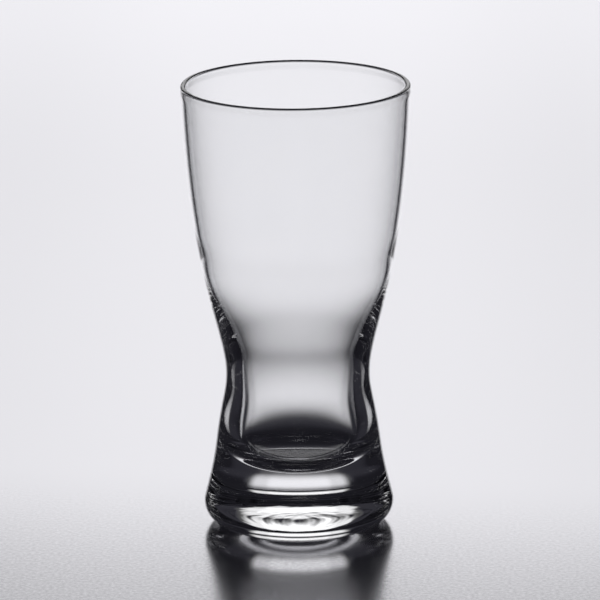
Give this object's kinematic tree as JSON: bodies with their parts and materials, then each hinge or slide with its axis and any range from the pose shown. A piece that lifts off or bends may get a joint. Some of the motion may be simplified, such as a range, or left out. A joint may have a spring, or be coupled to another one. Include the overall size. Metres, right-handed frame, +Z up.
{
  "type": "pilsner glass",
  "caption": "Clear pilsner beer glass with a beaded rim, a bowl that tapers to a drawn-in waist, a narrow well in thick glass and a heavy flared foot.",
  "frame": {"origin": "centre of the resting ring, on the surface that the glass stands on", "axes": "+Z up along the axis of the glass, towards the rim"},
  "size_m": [0.0762, 0.0762, 0.15],
  "materials": {
    "clear_glass": "clear, fire-polished gloss"
  },
  "bodies": {
    "root": {"glass": "clear_glass"}
  },
  "joints": []
}
